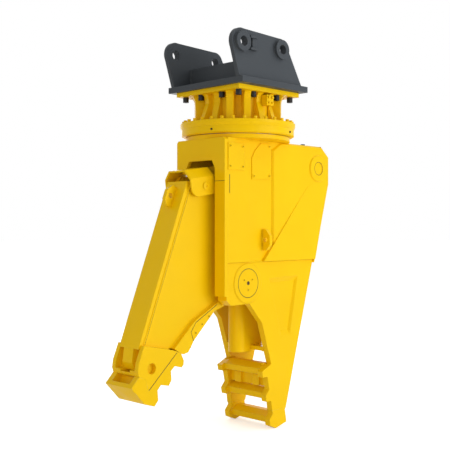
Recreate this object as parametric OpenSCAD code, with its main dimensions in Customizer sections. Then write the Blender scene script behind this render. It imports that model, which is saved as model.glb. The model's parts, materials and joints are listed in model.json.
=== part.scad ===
// Rotating concrete pulverizer for an excavator, hanging from its bracket.
// The origin is the centre of the stick pin, +X points to the fixed jaw, +Z up.

/* [Bracket] */
// Clear width between the two ears
ear_gap = 600; // [560:10:640]
// Thickness of each ear
ear_t = 28; // [22:2:34]
// Bore for the stick pin and the link pin
pin_bore = 65; // [55:5:75]
// Height of both pins above the mounting face
pin_height = 262; // [250:2:280]
// Distance from the stick pin to the link pin
pin_spacing = 377; // [360:1:390]
// Distance from the stick pin to the slew axis
stick_setback = 305; // [295:1:315]
// Length of the bracket plate
plate_len = 650; // [630:10:690]
// Width of the bracket plate
plate_w = 716; // [706:2:740]
// Thickness of the bracket plate
plate_t = 40; // [34:2:46]
// Outside diameter of the boss round each pin bore
boss_d = 130; // [110:5:140]
// Height of each boss
boss_h = 25; // [15:5:30]
// Height of the wall between the ears
cross_wall_h = 142; // [120:2:160]

/* [Pedestal] */
// Side of the square flange under the bracket
flange_w = 600; // [590:10:610]
// Thickness of the square flange
flange_t = 30; // [24:2:36]
// Height of the ribbed part
pedestal_h = 193; // [180:1:205]
// Number of ribs round the pedestal
rib_count = 16; // [8:8:16]
// Thickness of each rib
rib_t = 45; // [36:1:48]
// Radius over the ribs
rib_r = 300; // [294:2:308]
// Outside radius of the central drum
drum_r = 225; // [218:1:232]
// Shank diameter of the bracket bolts
bracket_bolt_d = 24; // [20:2:27]

/* [Slew ring] */
// Outside radius of the round base flange
base_flange_r = 398; // [392:1:405]
// Thickness of the round base flange
base_flange_t = 40; // [34:1:46]
// Height of the bearing's outer ring
ring_h = 50; // [46:1:56]
// Radius of the ball track
track_r = 340; // [338:1:342]
// Diameter of the balls
ball_d = 28; // [24:1:30]
// Number of balls
ball_count = 36; // [24:1:40]
// Number of bolts round the slew ring
ring_bolt_count = 32; // [16:4:36]
// Size of the gear teeth
gear_module = 10; // [9.5:0.1:10.4]
// Teeth inside the inner ring
ring_teeth = 52; // [52:4:56]
// Teeth on the motor pinion
pinion_teeth = 13; // [13:1:14]

/* [Housing] */
// Width over the side panels
body_w = 460; // [450:2:480]
// Length from the front face to the rear face
body_len = 1093; // [1070:1:1110]
// Distance from the slew axis forward to the front face
front_reach = 359; // [350:1:368]
// Height of the side plates down to the tip shoe
body_h = 1844; // [1820:2:1870]
// Depth of the upper body, down to the seam
seam_drop = 815; // [800:1:830]
// Thickness of the side plates
side_t = 45; // [40:1:50]
// Thickness of the raised side panels
panel_t = 13; // [8:1:16]
// Thickness of the front plate
front_t = 30; // [24:1:36]
// Thickness of the back plate
back_t = 22; // [18:1:24]
// Thickness of the deck under the slew ring
deck_t = 40; // [34:1:44]
// Width of the slot that the jaw and the cylinder move in
slot_w = 276; // [270:1:282]

/* [Pivots] */
// Drop from the top of the body to the main pivot
pivot_drop = 957; // [950:1:965]
// Distance of the main pivot in front of the slew axis
pivot_setback = 130; // [124:1:136]
// Diameter of the main pivot pin
pivot_d = 160; // [140:5:165]
// Drop from the top of the body to the rear cylinder pin
rear_drop = 161; // [156:1:168]
// Distance of the rear cylinder pin behind the slew axis
rear_setback = 598; // [590:1:600]
// Diameter of the rear cylinder pin
rear_pin_d = 80; // [70:2:84]
// Distance of the jaw pin in front of the main pivot
arm_reach = 297; // [290:1:304]
// Height of the jaw pin above the main pivot
arm_rise = 640; // [632:1:648]
// Diameter of the jaw pin
jaw_pin_d = 90; // [80:2:94]

/* [Moving jaw] */
// Width of the jaw's arm
arm_w = 186; // [180:1:196]
// Width of the jaw's head
head_w = 254; // [246:1:260]
// Reach of the jaw's tip in front of the pivot
jaw_reach = 904; // [890:1:915]
// Drop of the jaw's tip below the pivot
jaw_drop = 715; // [700:1:725]
// Thickness of the arm's side plates
arm_plate_t = 36; // [30:1:37]
// Thickness of the arm's front cover
cover_t = 32; // [26:1:38]
// Outside radius of the hub on the main pivot
hub_r = 150; // [140:1:155]
// Outside radius of the eye at the jaw pin
eye_r = 76; // [70:1:78]

/* [Fixed jaw] */
// Drop from the main pivot to the first tooth
first_tooth_drop = 566; // [560:1:575]
// Distance from tooth to tooth
tooth_pitch = 170; // [160:1:176]
// How far each tooth stands out
tooth_reach = 45; // [40:1:54]
// Height of each tooth's sloping top
tooth_slope_h = 42; // [36:1:46]
// Height of each tooth's front face
tooth_face_h = 41; // [36:1:46]

/* [Cylinder] */
// Outside radius of the barrel
barrel_r = 105; // [98:1:108]
// Inside radius of the barrel
barrel_bore_r = 82; // [76:1:86]
// Diameter of the piston rod
rod_d = 100; // [90:2:104]
// Greatest travel of the rod
stroke = 556; // [540:1:560]
// Height of the rod guard above the jaw pin
hood_rise = 117; // [114:1:122]
// Width over the rod guard
hood_w = 250; // [244:1:256]
// Thickness of the rod guard
hood_t = 11; // [8:1:12]

/* [Hidden] */
$fn = 96;

// Running clearance of every pin and shaft, measured on the radius
fit = 0.05;
// Gap between faces that pass each other
side_gap = 3;
// Overrun of cuts past the faces they go through
over = 2;
// Gap between the two rings of the bearing
ring_gap = 4;
// Height of the neck under the slew ring
neck_h = 28;
neck_inset = 38;
neck_r = base_flange_r - neck_inset;
turntable_h = flange_t + pedestal_h + base_flange_t + ring_h + ring_gap + neck_h;
yellow = [1.0, 0.82, 0.0];
shade_yellow = [0.93, 0.72, 0.0];
grey = [0.31, 0.33, 0.35];
black = [0.08, 0.08, 0.08];
steel = [0.7, 0.7, 0.72];
bronze = [0.72, 0.55, 0.3];

// Helpers
function spread(shares, size, start = [0, 0]) =
    [for (p = shares) [start.x + p.x * size.x, start.y + p.y * size.y]];
function touch(p, c, r, s) =
    let (v = p - c, a = atan2(v.y, v.x) + s * acos(r / norm(v)))
    c + r * [cos(a), sin(a)];
module slab(low, high) {
    translate([0, high, 0]) rotate([90, 0, 0]) linear_extrude(high - low) children();
}
module bar_y(r, low, high) {
    translate([0, high, 0]) rotate([90, 0, 0]) cylinder(r = r, h = high - low);
}
module both_sides() {
    children();
    mirror([0, 1, 0]) children();
}
module at_flange() translate([stick_setback, 0, -pin_height]) children();
module at_top() at_flange() translate([0, 0, -turntable_h]) children();
module at_pivot() {
    at_top() translate([-pivot_setback, 0, -pivot_drop]) children();
}
module at_rear_pin() at_top() translate([rear_setback, 0, -rear_drop]) children();
module at_jaw_pin() at_pivot() translate([-arm_reach, 0, arm_rise]) children();
cylinder_rise = pivot_drop - arm_rise - rear_drop;
cylinder_run = rear_setback + pivot_setback + arm_reach;
cylinder_tilt = atan2(cylinder_rise, cylinder_run);
pin_gap = norm([cylinder_run, cylinder_rise]);
module at_rod() at_jaw_pin() rotate([0, -cylinder_tilt, 0]) children();
module bar_x(r, low, high) {
    translate([low, 0, 0]) rotate([0, 90, 0]) cylinder(r = r, h = high - low);
}

// Bracket
ear_r = 88;
link_ear_r = 77;
ear_side_r = ear_r - 1;
link_side_r = link_ear_r - 1;
ear_out = ear_gap / 2 + ear_t;
rear_ear_inset = 30;
front_foot = [stick_setback - plate_len / 2, plate_t - pin_height];
rear_foot = [stick_setback + plate_len / 2 - rear_ear_inset, plate_t - pin_height];
module ear_outline() {
    difference() {
        union() {
            circle(ear_r);
            translate([pin_spacing, 0]) circle(link_ear_r);
            polygon([[0, ear_side_r], touch(front_foot, [0, 0], ear_side_r, -1), front_foot,
                rear_foot, touch(rear_foot, [pin_spacing, 0], link_side_r, 1),
                [pin_spacing, link_side_r]]);
        }
        for (x = [0, pin_spacing]) translate([x, 0]) circle(d = pin_bore);
    }
}
module left_ear() color(grey) slab(-ear_out, -ear_gap / 2) ear_outline();
module right_ear() color(grey) slab(ear_gap / 2, ear_out) ear_outline();
module ear_bosses() {
    color(grey) both_sides() for (x = [0, pin_spacing]) translate([x, 0, 0])
        slab(ear_out, ear_out + boss_h) difference() {
            circle(d = boss_d);
            circle(d = pin_bore);
        }
}
lock_len = 66;
lock_h = 14;
lock_gap = 64;
lock_plate_w = 40;
lock_plate_t = 12;
module pin_lock() {
    color(grey) translate([boss_d / 2, -ear_out, 0]) {
        for (s = [-1, 1]) translate([0, -boss_h, s * (lock_gap + lock_h) / 2 - lock_h / 2])
            cube([lock_len, boss_h, lock_h]);
        translate([lock_len - lock_plate_w, -lock_plate_t, -lock_gap / 2])
            cube([lock_plate_w, lock_plate_t, lock_gap]);
    }
}
wall_setback = 166;
wall_t = 30;
module cross_wall() {
    color(grey) at_flange() translate([-wall_setback, -ear_gap / 2, plate_t])
        cube([wall_t, ear_gap, cross_wall_h]);
}
bolt_inset = 45;
inner_bolt_side_share = 0.387;
inner_bolt_front_share = 0.333;
bolt_clearance = 1;
corner = flange_w / 2 - bolt_inset;
inner_side = flange_w / 2 * inner_bolt_side_share;
inner_front = flange_w / 2 * inner_bolt_front_share;
bolt_places = concat(
    [for (x = [-1, 1], y = [-1, 1]) [x * corner, y * corner]],
    [for (x = [-1, 1], y = [-1, 1]) [x * inner_side, y * corner]],
    [for (x = [-1, 1], y = [-1, 1]) [x * corner, y * inner_front]]);
module bolt_holes(low, high) {
    for (p = bolt_places) translate([p.x, p.y, low])
        cylinder(d = bracket_bolt_d + bolt_clearance, h = high - low, $fn = 32);
}
module bracket_plate() {
    color(grey) at_flange() difference() {
        translate([-plate_len / 2, -plate_w / 2, 0]) cube([plate_len, plate_w, plate_t]);
        bolt_holes(-over, plate_t + over);
    }
}
bolt_head_d = bracket_bolt_d * 5 / 3;
bolt_head_h = bracket_bolt_d * 3 / 2;
socket_d = bracket_bolt_d * 0.8;
module bracket_bolts() {
    color(black) at_flange() for (p = bolt_places) translate([p.x, p.y, 0]) {
        translate([0, 0, -flange_t])
            cylinder(d = bracket_bolt_d, h = flange_t + plate_t, $fn = 32);
        difference() {
            translate([0, 0, -flange_t - bolt_head_h])
                cylinder(d = bolt_head_d, h = bolt_head_h, $fn = 32);
            translate([0, 0, -flange_t - bolt_head_h - over])
                cylinder(d = socket_d, h = bolt_head_h / 2 + over, $fn = 6);
        }
    }
}

// Pedestal: square flange, drum, ribs and round base flange
drum_t = 30;
rib_flare = 30;
rib_flare_h = 62;
flare_steps = 4;
side_rib_in = 48;
core_hole_r = 100;
pinion_orbit = gear_module * (ring_teeth - pinion_teeth) / 2;
motor_r = 60;
motor_gap = 4;
manifold_w = 66;
manifold_h = 70;
manifold_drop = 15;
manifold_low = -flange_t - manifold_drop - manifold_h;
nose_r = 45;
ring_inset = 9;
ring_out_r = base_flange_r - ring_inset;
base_z = flange_t + pedestal_h;
ring_bolt_inset = 23;
ring_bolt_r = base_flange_r - ring_bolt_inset;
ring_bolt_d = 16;
module rib(top_in) {
    slab(-rib_t / 2, rib_t / 2) polygon(concat([[drum_r - drum_t / 2, -flange_t]],
        [for (a = [0 : flare_steps])
            [rib_r - top_in + rib_flare * (1 - sin(a * 90 / flare_steps)),
                -flange_t - rib_flare_h * (1 - cos(a * 90 / flare_steps))]],
        [[rib_r, -base_z], [drum_r - drum_t / 2, -base_z]]));
}
module pedestal() {
    color(yellow) at_flange() difference() {
        union() {
            translate([-flange_w / 2, -flange_w / 2, -flange_t])
                cube([flange_w, flange_w, flange_t]);
            rotate([0, 0, 180 / rib_count]) translate([0, 0, -base_z])
                cylinder(r = drum_r, h = base_z);
            for (k = [0 : rib_count - 1]) rotate([0, 0, 360 / rib_count * (k + 0.5)])
                rib(abs(k % 4 - 1.5) > 1 ? side_rib_in : 0);
            rotate_extrude() polygon([[core_hole_r, -base_z], [base_flange_r, -base_z],
                [base_flange_r, -base_z - base_flange_t / 2],
                [ring_out_r, -base_z - base_flange_t], [core_hole_r, -base_z - base_flange_t]]);
        }
        translate([0, 0, -base_z]) cylinder(r = drum_r - drum_t, h = base_z + over);
        bolt_holes(-flange_t - over, over);
        translate([0, -pinion_orbit, -base_z])
            cylinder(r = motor_r + motor_gap, h = pedestal_h);
        translate([-manifold_w / 2 - motor_gap, -rib_r - motor_r, manifold_low - motor_gap])
            cube([manifold_w + 2 * motor_gap, rib_r, manifold_h + 2 * motor_gap]);
        translate([0, -pinion_orbit, -base_z - base_flange_t - over])
            cylinder(r = nose_r + motor_gap / 4, h = base_flange_t + 2 * over);
        for (k = [0 : ring_bolt_count - 1]) rotate([0, 0, 360 / ring_bolt_count * (k + 0.5)])
            translate([ring_bolt_r, 0, -base_z - base_flange_t - over])
                cylinder(d = ring_bolt_d + bolt_clearance, h = base_flange_t + 2 * over, $fn = 24);
    }
}
thread_len = 28;
module ring_bolts() {
    color(yellow) at_flange() for (k = [0 : ring_bolt_count - 1])
        rotate([0, 0, 360 / ring_bolt_count * (k + 0.5)])
            translate([ring_bolt_r, 0, -base_z]) {
                cylinder(d = ring_bolt_d * 3 / 2, h = ring_bolt_d * 5 / 4, $fn = 24);
                translate([0, 0, -base_flange_t - thread_len])
                    cylinder(d = ring_bolt_d, h = base_flange_t + thread_len, $fn = 24);
            }
}

// Slew bearing
race_gap = 1;
race_clearance = 0.3;
outer_z = base_z + base_flange_t;
inner_z = outer_z + ring_gap;
race_z = (outer_z + inner_z + ring_h) / 2;
ring_chamfer = 14;
module race() {
    rotate_extrude() translate([track_r, -race_z]) circle(ball_d / 2 + race_clearance, $fn = 48);
}
nipple_count = 4;
nipple_turn = 63;
nipple_r = 7;
nipple_len = 12;
module slew_outer_ring() {
    color(yellow) at_flange() difference() {
        rotate_extrude() polygon([[track_r + race_gap, -outer_z], [ring_out_r, -outer_z],
            [ring_out_r, -outer_z - ring_h + ring_chamfer / 2],
            [ring_out_r - ring_chamfer, -outer_z - ring_h],
            [track_r + race_gap, -outer_z - ring_h]]);
        race();
        for (k = [0 : ring_bolt_count - 1]) rotate([0, 0, 360 / ring_bolt_count * (k + 0.5)])
            translate([ring_bolt_r, 0, -outer_z - thread_len - over])
                cylinder(d = ring_bolt_d + bolt_clearance, h = thread_len + 2 * over, $fn = 24);
    }
}
module grease_nipples() {
    color(black) at_flange() for (k = [0 : nipple_count - 1])
        rotate([0, 0, nipple_turn - 45 + 360 / nipple_count * k])
            translate([0, 0, -outer_z - ring_h / 2])
                bar_x(nipple_r, ring_out_r, ring_out_r + nipple_len / 4, $fn = 24);
}
module slew_balls() {
    color(steel) at_flange() for (k = [0 : ball_count - 1])
        rotate([0, 0, 360 / ball_count * k]) translate([track_r, 0, -race_z])
            sphere(d = ball_d, $fn = 24);
}
addendum = gear_module * 0.8;
dedendum = gear_module * 1.1;
tip_half = gear_module * 0.32;
root_half = gear_module * 1.02;
function gear_points(teeth, tip, root) =
    [for (k = [0 : teeth - 1], p = [[-root_half, root], [-tip_half, tip],
        [tip_half, tip], [root_half, root]])
        let (a = 360 / teeth * k - 90) [p.y * cos(a) - p.x * sin(a), p.y * sin(a) + p.x * cos(a)]];
ring_pitch_r = gear_module * ring_teeth / 2;
pinion_pitch_r = gear_module * pinion_teeth / 2;
module slew_inner_ring() {
    color(steel) at_flange() difference() {
        translate([0, 0, -inner_z - ring_h]) linear_extrude(ring_h) difference() {
            circle(track_r - race_gap);
            polygon(inner_gear_points);
        }
        race();
    }
}
inner_gear_points = [for (k = [0 : ring_teeth - 1], p = [[-1, 0], [-1, 1], [1, 1], [1, 0]])
    let (half = p.y == 1 ? gear_module * 0.46 : gear_module * 1.14,
        r = p.y == 1 ? ring_pitch_r + dedendum : ring_pitch_r - addendum,
        a = 360 / ring_teeth * k - 90)
    [r * cos(a) - p.x * half * sin(a), r * sin(a) + p.x * half * cos(a)]];
shaft_r = 25;
pinion_low = inner_z + ring_h - ring_gap;
module slew_pinion() {
    color(steel) at_flange() translate([0, -pinion_orbit, 0]) {
        translate([0, 0, -pinion_low]) linear_extrude(pinion_low - inner_z)
            polygon(gear_points(pinion_teeth, pinion_pitch_r + addendum, pinion_pitch_r - dedendum));
        translate([0, 0, -inner_z]) cylinder(r = shaft_r, h = inner_z - base_z + motor_r);
    }
}
motor_h = 150;
port_r = 14;
module slew_motor() {
    color(yellow) at_flange() translate([0, -pinion_orbit, 0]) difference() {
        union() {
            translate([0, 0, -base_z]) cylinder(r = motor_r, h = motor_h);
            translate([0, 0, -outer_z + over]) cylinder(r = nose_r, h = base_flange_t);
        }
        translate([0, 0, -outer_z]) cylinder(r = shaft_r + fit, h = base_flange_t + motor_r + over);
        translate([-motor_r, -motor_r - over, manifold_low])
            cube([2 * motor_r, motor_cut + over, manifold_h]);
    }
}
motor_cut = 14;
manifold_depth = 62;
manifold_screw_d = 11;
module motor_manifold() {
    color(yellow) at_flange() translate([0, -pinion_orbit - motor_r + motor_cut, 0]) {
        translate([-manifold_w / 2, -manifold_depth, manifold_low])
            cube([manifold_w, manifold_depth, manifold_h]);
        for (x = [-1, 1], z = [1, 3]) translate([x * manifold_w / 4, 0, manifold_low + manifold_h * z / 4])
            bar_y(manifold_screw_d / 2 + z, -manifold_depth - manifold_screw_d, -manifold_depth, $fn = 20);
    }
}
core_r = 45;
core_disc_r = 125;
core_disc_t = 23;
swivel_r = 78;
swivel_flange_r = 108;
swivel_flange_t = 12;
swivel_len = 85;
swivel_low = turntable_h + swivel_len;
swivel_gap = 2;
neck_z = inner_z + ring_h;
module swivel_core() {
    color(steel) at_flange() {
        translate([0, 0, -base_z]) cylinder(r = core_disc_r, h = core_disc_t);
        translate([0, 0, -swivel_low + side_gap]) cylinder(r = core_r, h = swivel_low - base_z);
    }
}
module swivel_housing() {
    color(steel) at_flange() difference() {
        union() {
            translate([0, 0, -swivel_low]) cylinder(r = swivel_r, h = swivel_low - neck_z);
            translate([0, 0, -neck_z]) cylinder(r = swivel_flange_r, h = swivel_flange_t);
        }
        translate([0, 0, -swivel_low - over])
            cylinder(r = core_r + fit, h = swivel_low - neck_z + swivel_flange_t + 2 * over);
    }
}
module housing_neck() {
    color(yellow) at_flange() difference() {
        translate([0, 0, -turntable_h]) cylinder(r = neck_r, h = neck_h);
        translate([0, 0, -turntable_h - over]) cylinder(r = swivel_r + swivel_gap, h = neck_h + 2 * over);
    }
}

// Housing
half_w = body_w / 2;
plate_out = half_w - panel_t;
plate_in = plate_out - side_t;
slot_half = slot_w / 2;
rear_shares = [[0.925, 0], [1, -0.037], [1, -0.146], [0.85, -0.4555]];
rear_line = spread(rear_shares, [body_len, body_h], [-front_reach, 0]);
rear_inner = [for (p = rear_line) p - [back_t, 0]];
front_x = front_t - front_reach;
strip_shares = [[0, -0.561], [0.066, -0.595], [0.226, -0.594], [0.3395, -0.669]];
strip_line = spread(strip_shares, [body_len, body_h], [-front_reach, 0]);
tip_share = 0.564;
tip_front_share = 0.432;
tooth_lean_share = 0.22;
first_tooth_share = 0.3726;
first_tooth_x = body_len * first_tooth_share - front_reach;
ledge_share = 1.25;
tooth_top = pivot_drop + first_tooth_drop;
function edge_x(z) = first_tooth_x + (-z - tooth_top) * tooth_lean_share;
function tooth_points(k) =
    let (z = -tooth_top - k * tooth_pitch, tip_z = z - tooth_slope_h,
        low_z = tip_z - tooth_face_h, back = k == 0 ? tooth_reach * ledge_share : 0)
    [[edge_x(z) + back, z], [edge_x(tip_z) - tooth_reach, tip_z],
        [edge_x(low_z) - tooth_reach, low_z], [edge_x(low_z), low_z]];
tip_x = body_len * tip_share - front_reach;
tip_front_x = body_len * tip_front_share - front_reach;
side_points = concat([[front_x, 0]], rear_inner, [[tip_x, -body_h], [tip_front_x, -body_h]],
    [for (k = [1 : -1 : 0], i = [3 : -1 : 0]) tooth_points(k)[i]],
    [strip_line[3], strip_line[2], strip_line[1],
        [front_x, strip_line[0].y - (front_x + front_reach) * 0.93]]);
pocket_shares = [[0.405, -0.505], [0.682, -0.503], [0.604, -0.726], [0.52, -0.724]];
pocket_points = spread(pocket_shares, [body_len, body_h], [-front_reach, 0]);
pocket_mid = (pocket_points[0] + pocket_points[1] + pocket_points[2] + pocket_points[3]) / 4;
pocket_slope_share = 0.17;
pocket_floor = [for (p = pocket_points) p + (pocket_mid - p) * pocket_slope_share];
pocket_d = 17;
boss_ring_h = 6;
boss_ring_r = pivot_d * 0.81;
cap_r = pivot_d * 0.594;
cap_gap = 1;
seam_h = 5;
seam_d = 3;
module side_plate() {
    difference() {
        union() {
            at_top() slab(-plate_out, -plate_in) polygon(side_points);
            at_pivot() bar_y(boss_ring_r, -plate_out - boss_ring_h, -plate_in);
        }
        at_pivot() bar_y(pivot_d / 2 + fit, -half_w, -plate_in + over);
        at_pivot() bar_y(cap_r + cap_gap, -half_w, -plate_out);
        at_rear_pin() bar_y(rear_pin_d / 2 + fit, -half_w, -plate_in + over);
        at_top() hull() {
            slab(-plate_out - over, -plate_out) polygon(pocket_points);
            slab(-plate_out, -plate_out + pocket_d) polygon(pocket_floor);
        }
        at_top() translate([-front_reach, -plate_out - over, -seam_drop - seam_h])
            cube([body_len, seam_d + over, seam_h]);
    }
}
module edge_cut(p, q, leg) {
    translate([p.x, -half_w, p.y]) rotate([0, -atan2(q.y - p.y, q.x - p.x), 0])
        rotate([45, 0, 0]) translate([-2 * leg, -leg / sqrt(2), -leg / sqrt(2)])
            cube([norm(q - p) + 4 * leg, leg * sqrt(2), leg * sqrt(2)]);
}
module left_side_plate() color(yellow) side_plate();
module right_side_plate() color(yellow) mirror([0, 1, 0]) side_plate();
cheek_len_share = 0.4;
cheek_low = pivot_drop + hub_r * 0.85;
module pivot_cheeks() {
    color(yellow) both_sides() difference() {
        at_top() slab(-plate_in, -slot_half) polygon(concat([[front_x, -deck_t],
            [body_len * cheek_len_share - front_reach, -deck_t],
            [body_len * cheek_len_share - front_reach, -cheek_low + hub_r],
            [-pivot_setback + hub_r * 0.6, -cheek_low]],
            [strip_line[2], strip_line[1],
                [front_x, strip_line[0].y - (front_x + front_reach) * 0.93]]));
        at_pivot() bar_y(pivot_d / 2 + fit, -plate_in - over, -slot_half + over);
    }
}
window_drop = 145;
window_top_share = 0.8;
window_cut_h = 50;
header_h = 283;
module front_plate() {
    color(yellow) at_top() translate([-front_reach, 0, 0]) rotate([90, 0, 90])
        linear_extrude(front_t) {
            difference() {
                polygon([[-half_w, -header_h], [half_w, -header_h], [half_w, -edge_leg],
                    [half_w - edge_leg, 0], [edge_leg - half_w, 0], [-half_w, -edge_leg]]);
                polygon([[-slot_half, -header_h - over], [slot_half, -header_h - over],
                    [slot_half, -window_drop - window_cut_h],
                    [slot_half * window_top_share, -window_drop],
                    [-slot_half * window_top_share, -window_drop],
                    [-slot_half, -window_drop - window_cut_h]]);
            }
            for (s = [-1, 1]) translate([s * (half_w + slot_half) / 2, 0])
                translate([-(half_w - slot_half) / 2, strip_line[0].y])
                    square([half_w - slot_half, -strip_line[0].y - header_h]);
        }
}
module back_plate() {
    color(yellow) at_top() difference() {
        slab(-half_w, half_w) polygon(concat(rear_line,
            [for (i = [len(rear_inner) - 1 : -1 : 0]) rear_inner[i]]));
        both_sides() for (i = [0 : 2])
            edge_cut(rear_line[i], rear_line[i + 1], edge_leg * (1 - i / 20));
    }
}
module top_deck() {
    color(yellow) at_top() difference() {
        translate([front_x, -plate_in, -deck_t])
            cube([rear_inner[0].x - front_x, 2 * plate_in, deck_t]);
        translate([0, 0, -deck_t - over]) cylinder(r = swivel_r + swivel_gap, h = deck_t + 2 * over);
        for (p = deck_bolt_places) translate([p.x, p.y, -deck_t - over])
            cylinder(d = deck_bolt_d + bolt_clearance, h = deck_t + 2 * over, $fn = 24);
    }
}
deck_bolt_d = 16;
deck_bolt_x_shares = [0.65, 0.81];
deck_bolt_places = [for (s = deck_bolt_x_shares, y = [-1, 1])
    [body_len * s - front_reach, y * plate_in * 0.86]];
module deck_bolts() {
    color(black) at_top() for (p = deck_bolt_places) translate([p.x, p.y, 0]) {
        cylinder(d = deck_bolt_d * 2, h = deck_bolt_d, $fn = 24);
        translate([0, 0, -deck_t]) cylinder(d = deck_bolt_d, h = deck_t, $fn = 24);
    }
}
column_share = 0.222;
column_x = body_len * column_share - front_reach;
panel_cut = panel_t * 0.9;
module front_side_panels() {
    color(yellow) both_sides() at_top() difference() {
        slab(-half_w, -plate_out)
            polygon([[front_x, 0], [column_x, 0], [column_x, -seam_drop], [front_x, -seam_drop]]);
        edge_cut([column_x, -seam_drop], [column_x, 0], panel_cut);
    }
}
cheek_shares = [[0.427, -0.0293], [0.51, 0]];
ridge_shares = [[0.427, -0.38], [0.335, -0.442]];
ridge_top_share = [0.795, -0.141];
rear_cheek = spread(cheek_shares, [body_len, body_h], [-front_reach, 0]);
ridge = spread(ridge_shares, [body_len, body_h], [-front_reach, 0]);
ridge_top = spread([ridge_top_share], [body_len, body_h], [-front_reach, 0])[0];
seam_rear_x = rear_inner[2].x
    + (rear_inner[3].x - rear_inner[2].x) * (seam_drop + rear_inner[2].y)
    / (rear_inner[2].y - rear_inner[3].y);
rear_boss_r = 92;
rear_boss_h = 8;
wedge_t = 12;
edge_leg = 14;
module rear_side_panels() {
    color(yellow) both_sides() difference() {
        union() {
            at_top() difference() {
                slab(-half_w, -plate_out) polygon(concat(
                    [rear_cheek[0], rear_cheek[1]], [for (i = [0 : 2]) rear_inner[i]],
                    [[seam_rear_x, -seam_drop], [ridge[1].x, -seam_drop], ridge[0]]));
                edge_cut(rear_cheek[0], rear_cheek[1], panel_cut);
                edge_cut(rear_cheek[1], rear_inner[0], panel_cut);
                edge_cut(ridge[0], rear_cheek[0], panel_cut);
            }
            intersection() {
                at_top() slab(-half_w - wedge_t, -half_w) polygon([ridge_top, rear_inner[2],
                    [seam_rear_x, -seam_drop], [ridge[1].x, -seam_drop]]);
                at_top() translate([0, -half_w, ridge_top.y])
                    rotate([-atan(wedge_t / (seam_drop + ridge_top.y)), 0, 0])
                        translate([-front_reach, 0, -2 * seam_drop])
                            cube([body_len, body_w, 2 * seam_drop]);
            }
            at_rear_pin() bar_y(rear_boss_r, -half_w - rear_boss_h, -plate_out);
        }
        at_rear_pin() bar_y(rear_cap_r + fit, -half_w - rear_boss_h - over, -plate_out + over);
    }
}
rear_cap_r = rear_pin_d * 0.56;
module rear_pin() {
    color(steel) at_rear_pin() {
        bar_y(rear_pin_d / 2, -plate_out, plate_out);
        both_sides() bar_y(rear_cap_r, -half_w - rear_boss_h / 2, -plate_out);
    }
}
rear_hub_r = 62;
rear_eye_half = 70;
module rear_pin_bosses() {
    color(yellow) both_sides() at_rear_pin() difference() {
        bar_y(rear_hub_r, -plate_in, -rear_eye_half - side_gap);
        bar_y(rear_pin_d / 2 + fit, -plate_in - over, -rear_eye_half);
    }
}
module pivot_pin() color(steel) at_pivot() bar_y(pivot_d / 2, -plate_out, plate_out);
cap_hole_r = 10;
cap_screw_orbit = 45;
module pivot_caps() {
    color(yellow) both_sides() at_pivot() difference() {
        bar_y(cap_r, -plate_out - boss_ring_h, -plate_out);
        bar_y(cap_hole_r, -half_w, -plate_out - boss_ring_h / 3);
    }
}
cover_t_small = 6;
cover_shares = [[0.013, -0.018], [0.15, -0.018], [0.15, -0.114], [0.013, -0.114]];
cover_screw_shares = [[0.028, -0.03], [0.134, -0.03], [0.028, -0.101], [0.134, -0.101]];
hose_cover_shares = [[0.244, -0.143], [0.244, -0.065], [0.274, -0.036], [0.326, -0.01],
    [0.418, -0.01], [0.418, -0.139]];
hose_screw_shares = [[0.4, -0.02], [0.26, -0.131], [0.4, -0.128]];
cover_at = [body_len, body_h];
small_screw_r = 7;
module side_covers() {
    color(yellow) both_sides() at_top() {
        slab(-half_w - cover_t_small, -half_w)
            polygon(spread(cover_shares, cover_at, [-front_reach + front_t / 2, 0]));
        slab(-plate_out - cover_t_small, -plate_out)
            polygon(spread(hose_cover_shares, cover_at, [-front_reach, 0]));
    }
}
module cover_screws() {
    color(shade_yellow) both_sides() {
        at_top() for (p = spread(cover_screw_shares, cover_at, [-front_reach + front_t / 2, 0]))
            translate([p.x, 0, p.y])
                bar_y(small_screw_r, -half_w - 2 * cover_t_small, -half_w - cover_t_small, $fn = 20);
        at_top() for (p = spread(hose_screw_shares, cover_at, [-front_reach, 0]))
            translate([p.x, 0, p.y])
                bar_y(small_screw_r, -plate_out - 2 * cover_t_small, -plate_out - cover_t_small, $fn = 20);
        at_pivot() for (a = [30, 150, 270])
            translate([cap_screw_orbit * cos(a), 0, cap_screw_orbit * sin(a)])
                bar_y(small_screw_r, -plate_out - boss_ring_h - cover_t_small / 2,
                    -plate_out - boss_ring_h, $fn = 20);
    }
}
lug_h = 140;
lug_reach = 68;
lug_t = 26;
lug_hole_r = 17;
module lug() {
    linear_extrude(lug_t, center = true) difference() {
        polygon([[0, -lug_h / 2], [lug_reach * 0.6, -lug_h / 2], [lug_reach, -lug_h / 4],
            [lug_reach, lug_h / 5], [lug_reach * 0.5, lug_h / 2], [0, lug_h / 2]]);
        translate([lug_reach * 0.45, 0]) circle(lug_hole_r);
    }
}
side_lug_share = [0.352, -0.363];
module body_lugs() {
    color(yellow) both_sides() at_top()
        translate([body_len * side_lug_share.x - front_reach, -plate_out, body_h * side_lug_share.y])
            rotate([90, 0, -90]) lug();
}

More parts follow.
